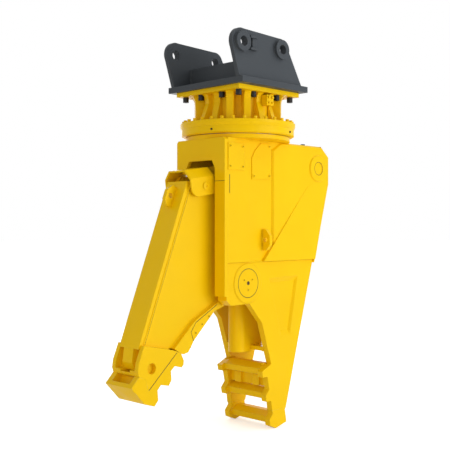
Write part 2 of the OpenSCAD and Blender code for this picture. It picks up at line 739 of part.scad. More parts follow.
// Fixed jaw
column_r = 65;
column_gap = 12;
column_len = 170;
shelf_drop = 448;
shelf_t = 28;
shelf_setback = 62;
nose_drop = 41;
shelf_len = 270;
module throat_column() {
    height = shelf_drop - hub_r + column_r;
    color(yellow) at_pivot() translate([pivot_setback, 0, 0]) difference() {
        union() {
            translate([0, 0, -shelf_drop - nose_drop]) cylinder(r = column_r, h = height + nose_drop);
            translate([0, -column_r, -shelf_drop - nose_drop])
                cube([shelf_setback, 2 * column_r, height + nose_drop]);
            translate([0, -column_r, -shelf_drop]) cube([column_len, 2 * column_r, height]);
        }
        translate([-pivot_setback, 0, 0]) bar_y(hub_r + column_gap, -half_w, half_w);
        translate([shelf_setback, -column_r - over, -shelf_drop - nose_drop - over])
            cube([column_len, 2 * column_r + 2 * over, nose_drop + over]);
    }
}
module throat_shelf() {
    color(yellow) at_pivot() translate([pivot_setback + shelf_setback, -plate_in,
        -shelf_drop - shelf_t]) cube([shelf_len, 2 * plate_in, shelf_t]);
}
bar_setback = 24;
bar_lift = 12;
bar_depth = 105;
bar_lean = tooth_face_h * tooth_lean_share;
function bar_front(k) = tooth_points(k)[1].x + bar_setback;
module jaw_bar(k) {
    top = tooth_points(k)[0].y;
    low = tooth_points(k)[2].y + bar_lift;
    at_top() slab(-plate_in, plate_in) polygon([
        [bar_front(k) + tooth_reach * ledge_share, top],
        [bar_front(k), tooth_points(k)[1].y + bar_lift],
        [bar_front(k) + bar_lean, low],
        [bar_front(k) + bar_depth, low],
        [bar_front(k) + bar_depth, top]]);
}
module jaw_bars() {
    color(yellow) {
        jaw_bar(0);
        jaw_bar(1);
    }
}
web_t = 22;
pad_w_share = 0.17;
pad_t = 20;
module bar_web() {
    color(yellow) at_top() {
        x = bar_front(1) + bar_depth / 3;
        low = tooth_points(1)[0].y + bar_lift;
        high = tooth_points(0)[2].y + bar_lift;
        translate([x, -plate_in, low]) cube([web_t, 2 * plate_in, high - low]);
        for (s = [-1, 1]) translate([x - pad_t, s * plate_in / 2 - plate_in * pad_w_share, low])
            cube([pad_t + web_t / 2, 2 * plate_in * pad_w_share, (high - low) * 0.85]);
    }
}
shoe_len = 150;
shoe_drop = 127;
shoe_shares = [[0.9, -0.087], [0.993, -0.685], [0.993, -0.787], [0.253, -1]];
module tip_shoe() {
    tip = tooth_points(2);
    color(yellow) {
        jaw_bar(2);
        at_top() both_sides() slab(-plate_out, -plate_in) {
            polygon(concat([[tip_front_x, -body_h], [tip_x, -body_h]],
                spread(shoe_shares, [shoe_len, shoe_drop], [tip_front_x, -body_h]),
                [tip[2], tip[1], tip[0]]));
        }
    }
}

// Moving jaw
arm_out = arm_w / 2;
head_out = head_w / 2;
jaw_size = [jaw_reach, jaw_drop];
front_top = [-arm_reach - arm_reach * 0.458, arm_rise + arm_reach * 0.094];
front_low_shares = [[-0.919, -0.512]];
front_low = spread(front_low_shares, jaw_size)[0];
lean = atan2(front_top.x - front_low.x, front_top.y - front_low.y);
cover_shift = [cover_t / cos(lean), 0];
inner_shares = [[-0.629, -0.541], [-0.436, -0.3175], [-0.159, -0.1385]];
inner_line = spread(inner_shares, jaw_size);
eye_at = [-arm_reach, arm_rise];
module arm_outline() {
    difference() {
        union() {
            circle(hub_r);
            translate(eye_at) circle(eye_r);
            polygon(concat([front_top + cover_shift, front_low + cover_shift], inner_line,
                [[0, 0], touch(eye_at, [0, 0], hub_r, -1), touch([0, hub_r], eye_at, eye_r, 1)]));
        }
        circle(hub_r);
    }
}
arm_top_cut = 30;
module arm_plate() {
    difference() {
        at_pivot() slab(-arm_out, -arm_out + arm_plate_t) arm_outline();
        at_jaw_pin() bar_y(jaw_pin_d / 2 + fit, -arm_out - over, -arm_out + arm_plate_t + over);
    }
}
module jaw_left_plate() color(yellow) arm_plate();
module jaw_right_plate() color(yellow) mirror([0, 1, 0]) arm_plate();
module jaw_front_cover() {
    color(shade_yellow) at_pivot() slab(-arm_out, arm_out)
        polygon([front_top, front_top + cover_shift, front_low + cover_shift, front_low]);
}
back_start_share = 0.45;
back_end_share = 0.86;
arm_inside = arm_out - arm_plate_t;
module jaw_back_plate() {
    a = touch([0, hub_r], eye_at, eye_r, 1);
    b = touch(eye_at, [0, 0], hub_r, -1);
    color(yellow) at_pivot() slab(-arm_inside, arm_inside) polygon([
        a + (b - a) * back_start_share, a + (b - a) * back_end_share,
        a + (b - a) * back_end_share - [cover_t, 0], a + (b - a) * back_start_share - [cover_t, 0]]);
}
bush_t = 15;
module jaw_hub() {
    color(yellow) at_pivot() difference() {
        bar_y(hub_r, -slot_half + side_gap, slot_half - side_gap);
        bar_y(pivot_d / 2 + bush_t, -slot_half, slot_half);
    }
}
module hub_bushes() {
    color(bronze) both_sides() at_pivot() difference() {
        bar_y(pivot_d / 2 + bush_t, -slot_half + side_gap, -slot_half / 6);
        bar_y(pivot_d / 2 + fit, -slot_half, 0);
    }
}
band_shares = [[-0.565, -0.594], [-0.541, -0.599], [-0.5, -0.588], [-0.474, -0.546],
    [-0.449, -0.496], [-0.245, -0.247], [-0.15, -0.212]];
band_line = spread(band_shares, jaw_size);
blade_shares = [[-0.209, -0.183], [-0.427, -0.3315], [-0.473, -0.411], [-0.449, -0.496],
    [-0.245, -0.247]];
blade_points = spread(blade_shares, jaw_size);
blade_t = 22;
blade_bolt_r = 8;
blade_bolt_shares = [[-0.301, -0.287], [-0.37, -0.352], [-0.43, -0.424]];
module throat_band() {
    color(yellow) at_pivot() difference() {
        slab(-head_out, head_out) difference() {
            polygon(concat(inner_line, [[0, 0]], [for (i = [6 : -1 : 0]) band_line[i]]));
            circle(hub_r);
        }
        both_sides() slab(-head_out - over, -head_out + blade_t) polygon(blade_points);
    }
}
module cutter_blades() {
    color(yellow) both_sides() at_pivot() slab(-head_out, -head_out + blade_t - fit)
        polygon(blade_points);
}
module blade_bolts() {
    color(shade_yellow) both_sides() at_pivot() for (p = spread(blade_bolt_shares, jaw_size))
        translate([p.x, 0, p.y])
            bar_y(blade_bolt_r, -head_out - cover_t_small / 2, -head_out, $fn = 20);
}
head_shares = [[-0.898, -0.481], [-0.644, -0.5495], [-0.6, -0.569], [-0.861, -0.8685],
    [-0.882, -0.768], [-0.942, -0.734], [-0.952, -0.69], [-0.943, -0.62]];
nose_half_share = 0.36;
nose_half = head_out * nose_half_share;
recess_half = head_out * 0.75;
nose_shares = [[-0.919, -0.512], [-0.931, -0.63], [-0.9, -0.7], [-0.78, -0.72],
    [-0.68, -0.6], [-0.66, -0.512]];
shoe_pin_share = [-0.833, -0.6825];
shoe_pin_at = spread([shoe_pin_share], jaw_size)[0];
shoe_pin_d = 67;
cavity_shares = [[-1, -0.4], [-1, -0.695], [-0.905, -0.72], [-0.77, -0.74], [-0.665, -0.6],
    [-0.655, -0.4]];
module shoe_block() {
    color(yellow) at_pivot() difference() {
        slab(-head_out, head_out) polygon(spread(head_shares, jaw_size));
        slab(-nose_half - side_gap / 3, nose_half + side_gap / 3)
            polygon(spread(cavity_shares, jaw_size));
        slab(-recess_half, recess_half) polygon(spread(recess_shares, jaw_size));
        slab(-arm_out, arm_out) polygon([front_low - [hub_r, 0], front_low, inner_line[0],
            inner_line[0] + [hub_r, 0], inner_line[0] + [hub_r, hub_r],
            front_low + [-hub_r, hub_r]]);
        translate([shoe_pin_at.x, 0, shoe_pin_at.y])
            bar_y(shoe_pin_d / 2 + fit, -head_out - over, head_out + over);
    }
}
recess_shares = [[-1, -0.51], [-1, -0.69], [-0.9, -0.69], [-0.865, -0.51]];
module jaw_nose() {
    color(yellow) at_pivot() difference() {
        slab(-nose_half, nose_half) polygon(spread(nose_shares, jaw_size));
        translate([shoe_pin_at.x, 0, shoe_pin_at.y])
            bar_y(shoe_pin_d / 2 + fit, -head_out - over, head_out + over);
    }
}
shoe_pin_inset = 30;
module shoe_pin() {
    color(steel) at_pivot() translate([shoe_pin_at.x, 0, shoe_pin_at.y])
        bar_y(shoe_pin_d / 2, -head_out + shoe_pin_inset, head_out - shoe_pin_inset);
}
tooth_shares = [[-0.565, -0.594], [-0.541, -0.655], [-0.544, -0.691], [-0.562, -0.713],
    [-0.626, -0.691], [-0.661, -0.73], [-0.656, -0.808], [-0.68, -0.853], [-0.751, -0.835],
    [-0.781, -0.8755], [-0.775, -0.962], [-0.808, -1.008], [-0.893, -0.975], [-1.008, -0.821],
    [-0.942, -0.734], [-0.882, -0.768], [-0.861, -0.8685], [-0.6, -0.569]];
toe_pocket_shares = [[-1.1, -0.6], [-1.1, -0.79], [-0.99, -0.79], [-0.93, -0.84],
    [-0.9, -0.76], [-0.93, -0.7]];
toe_half_share = 0.68;
module tooth_shoe() {
    color(yellow) at_pivot() {
        difference() {
            slab(-head_out, head_out) polygon(spread(tooth_shares, jaw_size));
            slab(-head_out * toe_half_share, head_out * toe_half_share)
                polygon(spread(toe_pocket_shares, jaw_size));
        }
    }
}
jaw_lug_share = 0.1;
module jaw_lug() {
    p = front_top + (front_low - front_top) * jaw_lug_share;
    color(yellow) at_pivot() translate([p.x, 0, p.y]) rotate([0, lean, 0])
        rotate([90, 0, 180]) lug();
}
pin_end_d = 40;
pin_end_gap = 2;
hood_out = hood_w / 2;
module jaw_pin() {
    color(steel) at_jaw_pin() {
        bar_y(jaw_pin_d / 2, -arm_out - side_gap, arm_out + side_gap);
        bar_y(pin_end_d / 2, -hood_out - pin_end_gap, hood_out + pin_end_gap, $fn = 48);
    }
}

// Hydraulic cylinder
rod_eye_r = 80;
rod_eye_half = arm_inside - side_gap / 2;
pad_half = 40;
pad_rise = 6;
pad_top = rod_eye_r + pad_rise;
gland_len = 70;
gland_lip = 8;
gland_r = barrel_r + gland_lip;
gland_start = 200;
piston_len = 70;
rear_wall = 30;
piston_end = gland_start + gland_len + stroke + piston_len + side_gap;
open_gap = 30;
rear_eye_r = 85;
rear_eye_flat = 77;
module piston_rod() {
    color(steel) at_rod() difference() {
        union() {
            bar_y(rod_eye_r, -rod_eye_half, rod_eye_half);
            translate([-pad_half, -pad_half, 0]) cube([2 * pad_half, 2 * pad_half, pad_top]);
            bar_x(rod_d / 2, 0, piston_end - piston_len / 2);
        }
        bar_y(jaw_pin_d / 2 + fit, -rod_eye_half - over, rod_eye_half + over);
    }
}
module piston() {
    color(steel) at_rod() difference() {
        bar_x(barrel_bore_r - fit, piston_end - piston_len, piston_end);
        bar_x(rod_d / 2, piston_end - piston_len - over, piston_end - piston_len / 2);
    }
}
module cylinder_gland() {
    color(yellow) at_rod() difference() {
        bar_x(gland_r, gland_start, gland_start + gland_len);
        bar_x(rod_d / 2 + fit, gland_start - over, gland_start + gland_len + over);
    }
}
port_w = 50;
module cylinder_barrel() {
    eye_x = pin_gap;
    color(yellow) at_rod() difference() {
        union() {
            bar_x(barrel_r, gland_start + gland_len, piston_end + side_gap + rear_wall / 2);
            translate([eye_x, 0, 0]) intersection() {
                union() {
                    bar_y(rear_eye_r, -rear_eye_half, rear_eye_half);
                    translate([-eye_x + piston_end, -rear_eye_half, -rear_eye_r])
                        cube([eye_x - piston_end, 2 * rear_eye_half, 2 * rear_eye_r]);
                }
                translate([-eye_x, -half_w, -barrel_r]) cube([eye_x + rear_eye_flat, body_w, 2 * barrel_r]);
            }
            for (x = [gland_start + gland_len + port_w, piston_end - port_w])
                translate([x - port_w / 2, -port_w / 2, -barrel_r - port_w / 4])
                    cube([port_w, port_w, port_w]);
        }
        bar_x(barrel_bore_r, gland_start, piston_end + side_gap);
        translate([eye_x, 0, 0]) bar_y(rear_pin_d / 2 + open_gap, -half_w, half_w);
    }
}
hood_front = 125;
hood_back = 82;
hood_top_share = 0.62;
hood_low = 58;
hood_cut = 60;
hood_corner_r = 60;
module hood_section(t) {
    w = hood_out - t;
    polygon([[-w, -hood_low - hood_cut], [-w, hood_cut - t / 2], [-w * hood_top_share, hood_rise - t],
        [w * hood_top_share, hood_rise - t], [w, hood_cut - t / 2], [w, -hood_low - hood_cut]]);
}
module rod_hood() {
    color(yellow) at_rod() difference() {
        union() {
            translate([-hood_front, 0, 0]) rotate([90, 0, 90])
                linear_extrude(hood_front + hood_back) difference() {
                    hood_section(0);
                    hood_section(hood_t);
                }
            translate([-pad_half, -pad_half, pad_top])
                cube([2 * pad_half, 2 * pad_half, hood_rise - pad_top - hood_t / 2]);
        }
        bar_y(pin_end_d / 2 + fit, -hood_out - over, hood_out + over);
        slab(-half_w, half_w) difference() {
            translate([-hood_front - over, -hood_low - 2 * hood_cut])
                square([hood_front + hood_back + 2 * over, 2 * hood_cut + hood_corner_r - over]);
            translate([-hood_front + hood_corner_r, -hood_low - over + hood_corner_r])
                circle(hood_corner_r);
            translate([-hood_front + hood_corner_r, -hood_low - over])
                square([hood_front + hood_back, 2 * hood_cut]);
            translate([-hood_front, -hood_low - over + hood_corner_r])
                square([hood_front + hood_back, 2 * hood_cut]);
        }
    }
}

bracket_plate();
left_ear();
right_ear();
ear_bosses();
cross_wall();
pin_lock();
bracket_bolts();
pedestal();
slew_outer_ring();
ring_bolts();
grease_nipples();
slew_balls();
slew_motor();
motor_manifold();
swivel_core();
slew_pinion();
slew_inner_ring();
swivel_housing();
housing_neck();
top_deck();
front_plate();
back_plate();
left_side_plate();
right_side_plate();
pivot_cheeks();
front_side_panels();
rear_side_panels();
side_covers();
cover_screws();
deck_bolts();
body_lugs();
pivot_pin();
pivot_caps();
rear_pin();
rear_pin_bosses();
throat_column();
throat_shelf();
jaw_bars();
bar_web();
tip_shoe();
jaw_left_plate();
jaw_right_plate();
jaw_front_cover();
jaw_back_plate();
jaw_hub();
hub_bushes();
throat_band();
shoe_block();
tooth_shoe();
shoe_pin();
jaw_nose();
cutter_blades();
blade_bolts();
jaw_lug();
jaw_pin();
piston_rod();
piston();
rod_hood();
cylinder_barrel();
cylinder_gland();
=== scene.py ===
"""Looks of the rotating concrete pulverizer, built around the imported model."""

import json
import math

import bmesh
import bpy
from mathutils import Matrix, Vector


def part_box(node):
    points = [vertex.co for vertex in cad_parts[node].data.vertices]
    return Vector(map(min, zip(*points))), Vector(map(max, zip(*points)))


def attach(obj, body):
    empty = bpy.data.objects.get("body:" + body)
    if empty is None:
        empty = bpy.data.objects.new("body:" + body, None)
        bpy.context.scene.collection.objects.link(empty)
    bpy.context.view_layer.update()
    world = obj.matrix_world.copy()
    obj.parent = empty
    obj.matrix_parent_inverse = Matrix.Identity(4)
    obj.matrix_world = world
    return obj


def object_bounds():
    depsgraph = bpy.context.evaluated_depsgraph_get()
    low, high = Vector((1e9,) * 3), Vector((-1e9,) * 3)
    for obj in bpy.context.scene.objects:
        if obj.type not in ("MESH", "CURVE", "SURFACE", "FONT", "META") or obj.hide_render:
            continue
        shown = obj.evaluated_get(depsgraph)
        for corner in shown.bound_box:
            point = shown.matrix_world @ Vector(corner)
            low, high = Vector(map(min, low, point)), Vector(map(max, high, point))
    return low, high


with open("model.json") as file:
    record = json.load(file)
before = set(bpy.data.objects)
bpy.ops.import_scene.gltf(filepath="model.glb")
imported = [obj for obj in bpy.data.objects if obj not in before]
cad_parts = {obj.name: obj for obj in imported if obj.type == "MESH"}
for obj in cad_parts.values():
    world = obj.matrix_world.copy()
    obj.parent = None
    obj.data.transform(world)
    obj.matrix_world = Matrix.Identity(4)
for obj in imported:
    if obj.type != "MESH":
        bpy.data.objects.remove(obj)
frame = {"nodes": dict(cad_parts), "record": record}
CAD_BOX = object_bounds()

NODES = frame["nodes"]
SCENE = bpy.context.scene

# Colours, as linear RGB
YELLOW = (0.93, 0.585, 0.001)
GREY = (0.064, 0.073, 0.083)
BLACK = (0.012, 0.012, 0.013)
STEEL = (0.46, 0.45, 0.43)
CHROME = (0.66, 0.66, 0.68)
BRONZE = (0.50, 0.33, 0.14)
SHADOW = (0.060, 0.026, 0.002)
WORN_YELLOW = (0.80, 0.62, 0.24)
WARM = (1.0, 0.84, 0.62)
NEUTRAL = (1.0, 1.0, 1.0)
FLOOR_GREY = (0.86, 0.86, 0.86)

# Small work, in metres: beads, gaps, half widths of welds, widths of the painted shade lines along
# each joint, radii of the painted shade in sockets and holes
BEAD_STEP = 0.004
RIPPLE = 0.012
LINE_LIFT = 0.0006
END_GAP = 0.004
EAR_WELD = 0.007
PLATE_WELD = 0.006
BOSS_WELD = 0.0055
FINE_WELD = 0.005
SEAM_WELD = 0.0045
THIN_SHADE_LINE = 0.003
SHADE_LINE = 0.004
SLOT_SHADE_LINE = 0.005
RING_SOCKET = 0.0062
DECK_SOCKET = 0.008
SCREW_SOCKET = 0.0038
BLADE_SOCKET = 0.0045
CAP_HOLE = 0.013
NIPPLE_LIFT = 0.001

# Collars, as inner radius, outer radius and height in metres
NIPPLE_COLLAR = (0.003, 0.0065, 0.004)
PIN_WASHER = (0.009, 0.026, 0.007)

# Shares and counts of the small work
SWELL = 0.14
BEAD_END = 0.55
DISH = 0.8
CHAMFER = 0.15
THROAT_HEIGHT = 0.3
THROAT_WIDTH = 0.94
WELD_SIDES = 8
CIRCLE_SIDES = 72
HEX = 6
SMOOTH_ANGLE = math.radians(38.0)

# A direction that no weld runs along, and the stretch of turned grain
SKEW = Vector((0.31, 0.24, 0.92))
TURNED_GRAIN = (1.0, 1.0, 30.0)


class Graph:
    """A node material with short calls for the nodes that the finishes share."""

    def __init__(self, name):
        self.mat = bpy.data.materials.new(name)
        self.mat.use_nodes = True
        self.tree = self.mat.node_tree
        self.shader = self.tree.nodes["Principled BSDF"]
        self.coords = self.add("ShaderNodeTexCoord").outputs["Object"]

    def add(self, kind, **values):
        node = self.tree.nodes.new(kind)
        for key, value in values.items():
            setattr(node, key, value)
        return node

    def link(self, a, b):
        self.tree.links.new(a, b)

    def noise(self, scale, detail, rough=0.5):
        node = self.add("ShaderNodeTexNoise")
        node.inputs["Scale"].default_value = scale
        node.inputs["Detail"].default_value = detail
        node.inputs["Roughness"].default_value = rough
        self.link(self.coords, node.inputs["Vector"])
        return node.outputs["Fac"]

    def ramp(self, value, stops):
        node = self.add("ShaderNodeValToRGB")
        band = node.color_ramp
        while len(band.elements) < len(stops):
            band.elements.new(0.5)
        for element, (place, tone) in zip(band.elements, stops):
            channels = tone if isinstance(tone, tuple) else (tone, tone, tone)
            element.position = place
            element.color = (*channels, 1.0)
        self.link(value, node.inputs["Fac"])
        return node.outputs["Color"]

    def math(self, kind, a, b):
        node = self.add("ShaderNodeMath", operation=kind)
        for socket, value in zip(node.inputs, (a, b)):
            if isinstance(value, (int, float)):
                socket.default_value = value
            else:
                self.link(value, socket)
        return node.outputs[0]

    def mix(self, fac, a, b):
        node = self.add("ShaderNodeMix", data_type="RGBA")
        for socket, value in ((node.inputs[0], fac), (node.inputs[6], a), (node.inputs[7], b)):
            if isinstance(value, (int, float)):
                socket.default_value = value
            elif isinstance(value, tuple):
                socket.default_value = (*value, 1.0)
            else:
                self.link(value, socket)
        return node.outputs[2]

    def edge(self, radius):
        """How far a rounded normal leans from the true one: 1 on sharp edges, 0 on flats."""
        bevel = self.add("ShaderNodeBevel", samples=4)
        bevel.inputs["Radius"].default_value = radius
        flat = self.add("ShaderNodeNewGeometry").outputs["Normal"]
        dot = self.add("ShaderNodeVectorMath", operation="DOT_PRODUCT")
        self.link(bevel.outputs[0], dot.inputs[0])
        self.link(flat, dot.inputs[1])
        lean = self.math("SUBTRACT", 1.0, dot.outputs["Value"])
        return bevel.outputs[0], lean

    def bump(self, height, strength, distance, normal):
        node = self.add("ShaderNodeBump")
        node.inputs["Strength"].default_value = strength
        node.inputs["Distance"].default_value = distance
        self.link(height, node.inputs["Height"])
        self.link(normal, node.inputs["Normal"])
        return node.outputs[0]

    def finish(self, colour, rough, normal, metallic=0.0, specular=0.5):
        self.link(colour, self.shader.inputs["Base Color"])
        self.link(rough, self.shader.inputs["Roughness"])
        self.link(normal, self.shader.inputs["Normal"])
        self.shader.inputs["Metallic"].default_value = metallic
        self.shader.inputs["Specular IOR Level"].default_value = specular
        return self.mat


def shade(colour, share):
    return tuple(channel * share for channel in colour)


def paint(name, colour, rough=(0.30, 0.46), wear=0.35, wear_colour=None, round_edge=0.004):
    """Sprayed paint: faint clouds, dark specks, orange peel, bright rubbed chips on the edges, and
    a painted highlight that lightens every edge.
    """
    g = Graph(name)
    cloud = g.noise(2.2, 4.0)
    speck = g.noise(160.0, 2.0)
    base = g.ramp(cloud, [(0.30, shade(colour, 0.94)), (0.70, colour)])
    base = g.mix(g.ramp(speck, [(0.66, 0.0), (0.80, 0.10)]), base, shade(colour, 0.80))
    rounded, lean = g.edge(round_edge)
    chips = g.ramp(g.noise(38.0, 6.0, 0.7), [(0.50, 0.0), (0.62, 1.0)])
    rim = g.ramp(lean, [(0.03, 0.0), (0.20, wear)])
    rubbed = g.math("MULTIPLY", rim, chips)
    worn = wear_colour or tuple(min(1.0, c * 1.10 + 0.03) for c in colour)
    # Painted highlight: every edge, sharp or not, is lightened evenly, apart from the chips.
    base = g.mix(g.ramp(lean, [(0.01, 0.0), (0.16, 0.45)]), base,
                 tuple(min(1.0, c * 1.25 + 0.02) for c in colour))
    base = g.mix(rubbed, base, worn)
    rough_now = g.ramp(g.noise(9.0, 5.0), [(0.35, rough[0]), (0.65, rough[1])])
    normal = g.bump(g.noise(420.0, 2.0), 0.08, 0.0006, rounded)
    normal = g.bump(g.noise(6.0, 2.0), 0.06, 0.004, normal)
    return g.finish(base, rough_now, normal, specular=0.10)


def metal(name, colour, rough=(0.28, 0.45), strength=0.10, metallic=1.0):
    """Machined or bare steel: turned grain, smudges and a softened edge."""
    g = Graph(name)
    stretch = g.add("ShaderNodeMapping")
    stretch.inputs["Scale"].default_value = TURNED_GRAIN
    g.link(g.coords, stretch.inputs["Vector"])
    lines = g.add("ShaderNodeTexNoise")
    lines.inputs["Scale"].default_value = 24.0
    lines.inputs["Detail"].default_value = 6.0
    g.link(stretch.outputs[0], lines.inputs["Vector"])
    smudge = g.noise(12.0, 5.0)
    base = g.ramp(smudge, [(0.30, shade(colour, 0.72)), (0.70, colour)])
    rounded, _ = g.edge(0.002)
    rough_now = g.ramp(lines.outputs["Fac"], [(0.35, rough[0]), (0.65, rough[1])])
    normal = g.bump(lines.outputs["Fac"], strength, 0.001, rounded)
    return g.finish(base, rough_now, normal, metallic=metallic)


MATERIALS = {
    "yellow_paint": paint("yellow_paint", YELLOW),
    "grey_paint": paint("grey_paint", GREY, rough=(0.34, 0.50), wear=0.5,
                        wear_colour=(0.16, 0.17, 0.18)),
    "black_steel": metal("black_steel", BLACK, rough=(0.35, 0.55), metallic=0.4),
    "bare_steel": metal("bare_steel", STEEL),
    "chrome_rod": metal("chrome_rod", CHROME, rough=(0.06, 0.12), strength=0.02),
    "bronze": metal("bronze", BRONZE),
}
WORN_PAINT = paint("worn_paint", YELLOW, rough=(0.34, 0.55), wear=0.9, wear_colour=WORN_YELLOW,
                   round_edge=0.007)
# Painted shade: a dark flat finish laid on strips and discs where gaps, grooves, sockets and holes
# lie in shade.
GAP_SHADOW = metal("gap_shadow", SHADOW, rough=(0.7, 0.9), metallic=0.0)
WORN_NODES = ("tooth_shoe", "jaw_bars", "tip_shoe", "cutter_blades")
PAINTED_PINS = ("rear_pin", "shoe_pin", "jaw_pin")


def dress(thing, material):
    thing.data.materials.clear()
    thing.data.materials.append(material)


for part in frame["record"]["subparts"]:
    dress(NODES[part["node"]], MATERIALS[part["material_slot"]])
for name in WORN_NODES:
    dress(NODES[name], WORN_PAINT)
for name in PAINTED_PINS:
    dress(NODES[name], MATERIALS["yellow_paint"])


class Details:
    """Small work on the faces of one body, gathered into one mesh for each finish."""

    def __init__(self, body, slot, name, material):
        self.body, self.slot, self.name, self.material = body, slot, name, material
        self.mesh = bmesh.new()

    def ring(self, centre, side, rise, radius, sides):
        return [self.mesh.verts.new(centre + radius * (math.cos(a) * side + math.sin(a) * rise))
                for a in (2 * math.pi * k / sides for k in range(sides))]

    def join(self, low, high):
        for k in range(len(low)):
            n = (k + 1) % len(low)
            self.mesh.faces.new((low[k], low[n], high[n], high[k]))

    def bead(self, points, radius, closed=False):
        """A weld bead: a rope swept along the joint, rippled where each pass of metal froze."""
        path = walk(points, BEAD_STEP, closed)
        rings = []
        for k, point in enumerate(path):
            before, after = neighbours(path, k, closed)
            along = (after - before).normalized()
            side = along.cross(SKEW).normalized()
            swell = 1.0 + SWELL * math.sin(2 * math.pi * k * BEAD_STEP / RIPPLE)
            if not closed and k in (0, len(path) - 1):
                swell *= BEAD_END
            rings.append(self.ring(point, side, along.cross(side), radius * swell, WELD_SIDES))
        for low, high in zip(rings, rings[1:]):
            self.join(low, high)
        if closed:
            self.join(rings[-1], rings[0])
        else:
            self.mesh.faces.new(rings[0])
            self.mesh.faces.new(rings[-1])

    def line(self, points, width, facing, closed=False):
        """A narrow strip of painted shade along a joint, drawn just proud of the face that it lies
        on.
        """
        path = [Vector(p) for p in points]
        facing = Vector(facing)
        edges = []
        for k, point in enumerate(path):
            before, after = neighbours(path, k, closed)
            across = (after - before).normalized().cross(facing) * width / 2
            lift = point + facing * LINE_LIFT
            edges.append((self.mesh.verts.new(lift - across), self.mesh.verts.new(lift + across)))
        pairs = list(zip(edges, edges[1:])) + ([(edges[-1], edges[0])] if closed else [])
        for (a, b), (c, d) in pairs:
            self.mesh.faces.new((a, b, d, c))

    def pit(self, centre, facing, radius, sides=24):
        """Painted shade in the mouth of a hole or socket: a dark dished disc just proud of its
        face.
        """
        centre, facing = Vector(centre), Vector(facing)
        side, rise = frame_of(facing)
        rim = self.ring(centre + facing * LINE_LIFT, side, rise, radius, sides)
        bed = self.ring(centre + facing * LINE_LIFT / 3, side, rise, radius * DISH, sides)
        self.join(rim, bed)
        self.mesh.faces.new(bed)

    def washer(self, centre, facing, inner, outer, height, sides=32):
        """A turned or hexagonal collar with a chamfered top edge."""
        facing = Vector(facing)
        side, rise = frame_of(facing)
        base = Vector(centre)
        low = self.ring(base, side, rise, outer, sides)
        shoulder = self.ring(base + facing * height * (1 - CHAMFER * 2), side, rise, outer, sides)
        top = self.ring(base + facing * height, side, rise, outer * (1 - CHAMFER), sides)
        mouth = self.ring(base + facing * height, side, rise, inner, sides)
        throat = self.ring(base + facing * height * THROAT_HEIGHT, side, rise,
                           inner * THROAT_WIDTH, sides)
        for a, b in ((low, shoulder), (shoulder, top), (top, mouth), (mouth, throat)):
            self.join(a, b)
        self.mesh.faces.new(throat)

    def place(self):
        bmesh.ops.recalc_face_normals(self.mesh, faces=self.mesh.faces)
        mesh = bpy.data.meshes.new(self.name)
        self.mesh.to_mesh(mesh)
        self.mesh.free()
        thing = bpy.data.objects.new(self.name, mesh)
        SCENE.collection.objects.link(thing)
        dress(thing, self.material)
        for face in mesh.polygons:
            face.use_smooth = True
        mesh.set_sharp_from_angle(angle=SMOOTH_ANGLE)
        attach(thing, self.body)


def neighbours(path, k, closed):
    """The points before and after one point of a path."""
    if closed:
        return path[k - 1], path[(k + 1) % len(path)]
    return path[max(k - 1, 0)], path[min(k + 1, len(path) - 1)]


def walk(points, step, closed):
    """Points at even steps along a chain of straight stretches."""
    chain = [Vector(p) for p in points] + ([Vector(points[0])] if closed else [])
    path = []
    for a, b in zip(chain, chain[1:]):
        count = max(1, round((b - a).length / step))
        path += [a.lerp(b, k / count) for k in range(count)]
    return path if closed else path + [chain[-1]]


def frame_of(facing):
    """Two directions across the one given, at right angles to each other."""
    side = facing.orthogonal().normalized()
    return side, facing.cross(side)


def circle(centre, radius, y):
    """Points of a circle in the plane of the given y, round a centre in x and z."""
    angles = [math.radians(360.0 * k / CIRCLE_SIDES) for k in range(CIRCLE_SIDES)]
    return [(centre[0] + radius * math.cos(a), y, centre[1] + radius * math.sin(a))
            for a in angles]


def middle(node):
    """The middle of a node's box, in x and z."""
    low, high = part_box(node)
    return (low[0] + high[0]) / 2, (low[2] + high[2]) / 2


def islands(node):
    """The box of each loose piece of a node's mesh."""
    bm = bmesh.new()
    bm.from_mesh(NODES[node].data)
    left, boxes = set(bm.verts), []
    while left:
        stack = [left.pop()]
        found = list(stack)
        while stack:
            for edge in stack.pop().link_edges:
                for vert in edge.verts:
                    if vert in left:
                        left.remove(vert)
                        stack.append(vert)
                        found.append(vert)
        boxes.append([[f(v.co[k] for v in found) for k in range(3)] for f in (min, max)])
    bm.free()
    return boxes


def centre_of(low, high):
    return tuple((a + b) / 2 for a, b in zip(low, high))


def side_of(high):
    """The side of the middle plane that a small box is on."""
    return -1.0 if high[1] < 0 else 1.0


def top_socket(work, low, high, radius):
    """Painted shade in the socket in the head of a bolt that faces up."""
    x, y, _ = centre_of(low, high)
    work.pit((x, y, high[2]), (0, 0, 1), radius, HEX)


def side_socket(work, low, high, s, radius):
    """Painted shade in the socket in the head of a bolt that faces out, on the side s."""
    x, _, z = centre_of(low, high)
    work.pit((x, s * max(abs(low[1]), abs(high[1])), z), (0, s, 0), radius, HEX)


def details(body, finish):
    """The piece that holds all small work of one finish on one body: welds in yellow or grey
    paint, or the painted shade of gaps, sockets and holes.
    """
    slot, material = {"yellow_welds": ("yellow_paint", MATERIALS["yellow_paint"]),
                      "grey_welds": ("grey_paint", MATERIALS["grey_paint"]),
                      "joints": ("black_steel", GAP_SHADOW)}[finish]
    return Details(body, slot, body + "_" + finish, material)


PIVOT = middle("pivot_pin")
REAR_PIN = middle("rear_pin")
JAW_PIN = middle("jaw_pin")
SIDES = (-1.0, 1.0)

